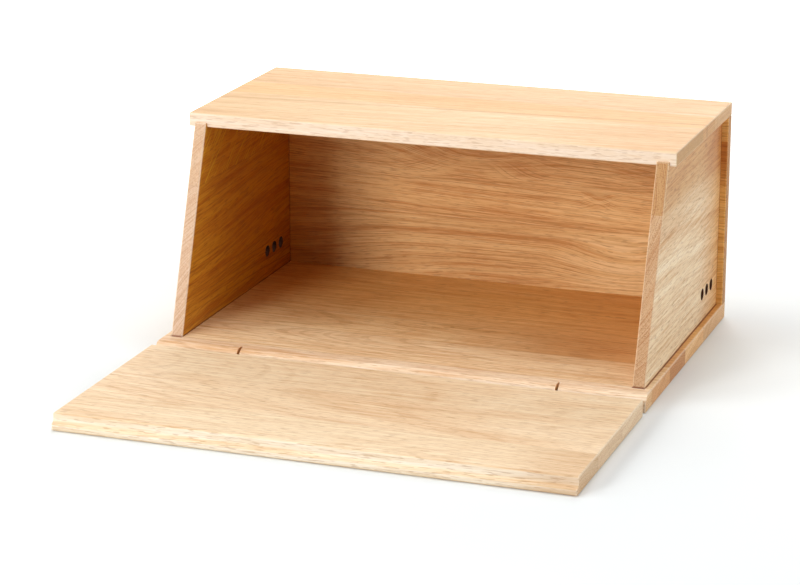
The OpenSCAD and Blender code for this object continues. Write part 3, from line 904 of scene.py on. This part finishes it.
# %% The right side
dress("side_panel_right", rubberwood(
    "oiled rubberwood, right side", "side_panel_right", "YZX",
    [(0, "#FFF6EA", 150, 90, 0.02, 0.05, "#CCB6A3"),
     (137, "#FFF4E4", 150, 90, 0.02, 0.05, "#C7AB88")],
    wild=4.0, rings=0.3, pores=0.5, strokes=0.16, calm=0.9, glue=0.0, worn_and_highlit=0.15, is_side=True,
    # Painted shade: the outside darkens toward the top, under the top board, and the inside is a
    # deeper tone, darker toward the rear. The outside is also a little darker toward its rear.
    oil_and_shade=[("Z", 160, 95, "#DCBF98", PLAIN, [RIGHT_OUTSIDE]),
         ("Y", -15, -90, "#EED1AA", PLAIN, [RIGHT_OUTSIDE]),
         ("Y", -110, -235, "#E3C08F", "#EACB9E", [RIGHT_INSIDE]),
         joint("Z", 13.5, 15.0, ALL_OVER),
         joint("Y", -10.0, -11.5, RIGHT_OUTSIDE)]))

# %% [markdown]
# ## Zinc
# The hinges' arms and brackets are pressed from steel sheet, and the screws are rolled.
# All have a coat of bright zinc, which gives the eye a pale grey metal with a soft shine
# and small crystals. A photo of zinc could be laid over them, but cells of noise in the
# colour and in the roughness do it with no picture, on shapes of any size.

# %% Zinc
CRYSTALS_PER_M = 900.0      # 1.1 mm each; real ones can be smaller, and would not show


def zinc():
    """Bright zinc on pressed steel."""
    material, tree, shader = fresh("bright zinc on pressed steel")
    place = add(tree, "TexCoord")
    crystals = add(tree, "TexVoronoi", {"Vector": place.outputs["Object"],
                                        "Scale": CRYSTALS_PER_M}).outputs["Distance"]
    rough = add(tree, "MapRange", {0: crystals, 1: 0.0, 2: 0.8, 3: 0.3, 4: 0.42}).outputs[0]
    ramp = add(tree, "ValToRGB", {0: crystals})
    stops = ramp.color_ramp.elements
    stops[0].color, stops[1].color = linear("#A2A5A8"), linear("#B9BCBE")
    tree.links.new(ramp.outputs[0], shader.inputs["Base Color"])
    tree.links.new(rough, shader.inputs["Roughness"])
    shader.inputs["Metallic"].default_value = 1.0
    return material


zinc_coat = zinc()
for node_name in ("hinge_bracket_left", "hinge_bracket_right", "hinge_arm_left",
                  "hinge_arm_right", "bracket_screws", "arm_screws"):
    dress(node_name, zinc_coat)

# %% [markdown]
# ## Brass
# The hinge pins are brass wire. It was drawn through a die, which leaves faint lines
# along it, so the light on it breaks up into streaks. Noise that is stretched along the
# pin gives the lines, in the colour and in the shine.

# %% Brass
DRAWN_PER_M = (200, 4000, 4000)      # marks 5 mm long along the pin and 0.25 mm wide


def brass():
    """Drawn brass wire."""
    material, tree, shader = fresh("drawn brass wire")
    place = add(tree, "TexCoord")
    drawn = add(tree, "VectorMath", {0: place.outputs["Object"], 1: DRAWN_PER_M},
                operation="MULTIPLY")
    marks = add(tree, "TexNoise", {"Vector": drawn.outputs[0], "Scale": 1.0,
                                   "Detail": 2.0}).outputs[0]
    rough = add(tree, "MapRange", {0: marks, 1: 0.3, 2: 0.7, 3: 0.24, 4: 0.4}).outputs[0]
    ramp = add(tree, "ValToRGB", {0: marks})
    stops = ramp.color_ramp.elements
    stops[0].color, stops[1].color = linear("#C39B49"), linear("#DDBE74")
    tree.links.new(ramp.outputs[0], shader.inputs["Base Color"])
    tree.links.new(rough, shader.inputs["Roughness"])
    shader.inputs["Metallic"].default_value = 1.0
    return material


wire = brass()
for node_name in ("hinge_pin_left", "hinge_pin_right"):
    dress(node_name, wire)

# %% [markdown]
# ## Beech
# The dowels are turned from beech, which is pinkish tan, with small dark flecks along
# its length, and left dry so that the glue holds. They stand upright, hidden in the
# boards, so one short recipe is enough.

# %% Beech
FLECKS_PER_M = (2200, 2200, 260)      # flecks 0.45 mm wide and 4 mm long, upright


def beech():
    """Turned beech, with no finish on it."""
    material, tree, shader = fresh("turned beech")
    place = add(tree, "TexCoord")
    grain = add(tree, "VectorMath", {0: place.outputs["Object"], 1: FLECKS_PER_M},
                operation="MULTIPLY")
    flecks = add(tree, "TexNoise", {"Vector": grain.outputs[0], "Scale": 1.0,
                                    "Detail": 2.0}).outputs[0]
    ramp = add(tree, "ValToRGB", {0: flecks})
    stops = ramp.color_ramp.elements
    stops[0].position, stops[0].color = 0.35, linear("#E3C195")
    stops[1].position, stops[1].color = 0.68, linear("#C79B6B")
    tree.links.new(ramp.outputs[0], shader.inputs["Base Color"])
    shader.inputs["Roughness"].default_value = 0.6
    return material


dowel_beech = beech()
for node_name in ("dowels_base", "dowels_top"):
    dress(node_name, dowel_beech)

# %% [markdown]
# ## The floor
# The box stands on white paper, which is a little grey under it and white all round. More
# light would make the paper white, but it would bleach the wood as well. So the paper
# keeps an even pale grey and its soft shadows, and it glows the more, the farther it is
# from the box and behind it. The glow shows to the camera and in reflections, and sends
# no light to the wood.

# %% What only the camera sees
def seen(tree):
    """1 for rays that show a thing to the camera, directly or in gloss or glass."""
    path = add(tree, "LightPath")
    rays = path.outputs["Is Camera Ray"]
    for kind in ("Is Glossy Ray", "Is Transmission Ray"):
        rays = add(tree, "Math", {0: rays, 1: path.outputs[kind]},
                   operation="MAXIMUM").outputs[0]
    return rays


print("a glow can be kept off the wood")

# %% The floor
FLOOR_SIZE = 12                   # m
NEAR_CORNER = (0.2, 0.17, 0)      # m: beneath the right side, near the back

bpy.ops.object.select_all(action="DESELECT")
bpy.ops.mesh.primitive_plane_add(size=FLOOR_SIZE, location=(0, 0, 0))
floor = bpy.context.object
floor.name = "floor"
material, tree, shader = fresh("white paper sweep")
place = add(tree, "TexCoord").outputs["Object"]
away = add(tree, "VectorMath", {0: place, 1: NEAR_CORNER}, operation="DISTANCE").outputs["Value"]
rearward = add(tree, "SeparateXYZ", {0: place}).outputs["Y"]
glow = 0.0
# Each rise starts at one place and is full at another, in m, and adds so much
for where, start, stop, most, rise in ((away, 0.5, 1.0, 0.6, "SMOOTHSTEP"),
                                       (away, 0.03, 0.2, 0.05, "LINEAR"),
                                       (away, 1.0, 3.0, 0.4, "LINEAR"),
                                       (rearward, 0.165, 0.29, 0.17, "LINEAR")):
    more = add(tree, "MapRange", {0: where, 1: start, 2: stop, 3: 0.0, 4: most},
               interpolation_type=rise).outputs[0]
    glow = add(tree, "Math", {0: glow, 1: more}).outputs[0]
glow = add(tree, "Math", {0: seen(tree), 1: glow}, operation="MULTIPLY").outputs[0]
shader.inputs["Base Color"].default_value = linear("#E6E9E9")
shader.inputs["Roughness"].default_value = 0.9
shader.inputs["Specular IOR Level"].default_value = 0.0
shader.inputs["Emission Color"].default_value = linear("#FFFFFF")
tree.links.new(glow, shader.inputs["Emission Strength"])
floor.data.materials.append(material)
print("floor:", FLOOR_SIZE, "m of", material.name)

# %% [markdown]
# ## The studio
# The light is that of a plain studio: one big softbox overhead, two on the left, a weak
# one on the right and one behind. Big lamps give the soft edge that the shadows have. The
# world is white to the camera and in reflections, and it lights nothing, so that all the
# light on the box comes from the lamps and can be set one by one.

# %% The studio
world = bpy.data.worlds.new("white studio")
scene.world = world
world.use_nodes = True
background = world.node_tree.nodes["Background"]
background.inputs["Color"].default_value = linear("#FFFFFF")
world.node_tree.links.new(seen(world.node_tree), background.inputs["Strength"])

# Place and aim in m, size in m, and watts
LAMPS = {
    "overhead softbox": ((0.1, 0.17, 2.13), (0, 0, 0.1), 1.4, 22),
    "front left softbox": ((-1.1, -2.5, 0.9), (0, 0, 0.08), 0.9, 52),
    "left softbox": ((-2.0, -1.0, 1.4), (0, 0, 0.08), 1.4, 29),
    "right softbox": ((1.7, -0.1, 0.7), (0, 0, 0.08), 1.0, 13),
    "rear softbox": ((-0.2, 1.8, 1.6), (0, 0, 0.08), 1.2, 26),
}
for name, (place, aim, size, watts) in LAMPS.items():
    data = bpy.data.lights.new(name, "AREA")
    data.shape = "SQUARE"
    data.size = size
    data.energy = watts
    softbox = bpy.data.objects.new(name, data)
    scene.collection.objects.link(softbox)
    softbox.location = place
    softbox.rotation_euler = (Vector(aim) - Vector(place)).to_track_quat("-Z", "Y").to_euler()
print("lamps:", ", ".join(LAMPS))
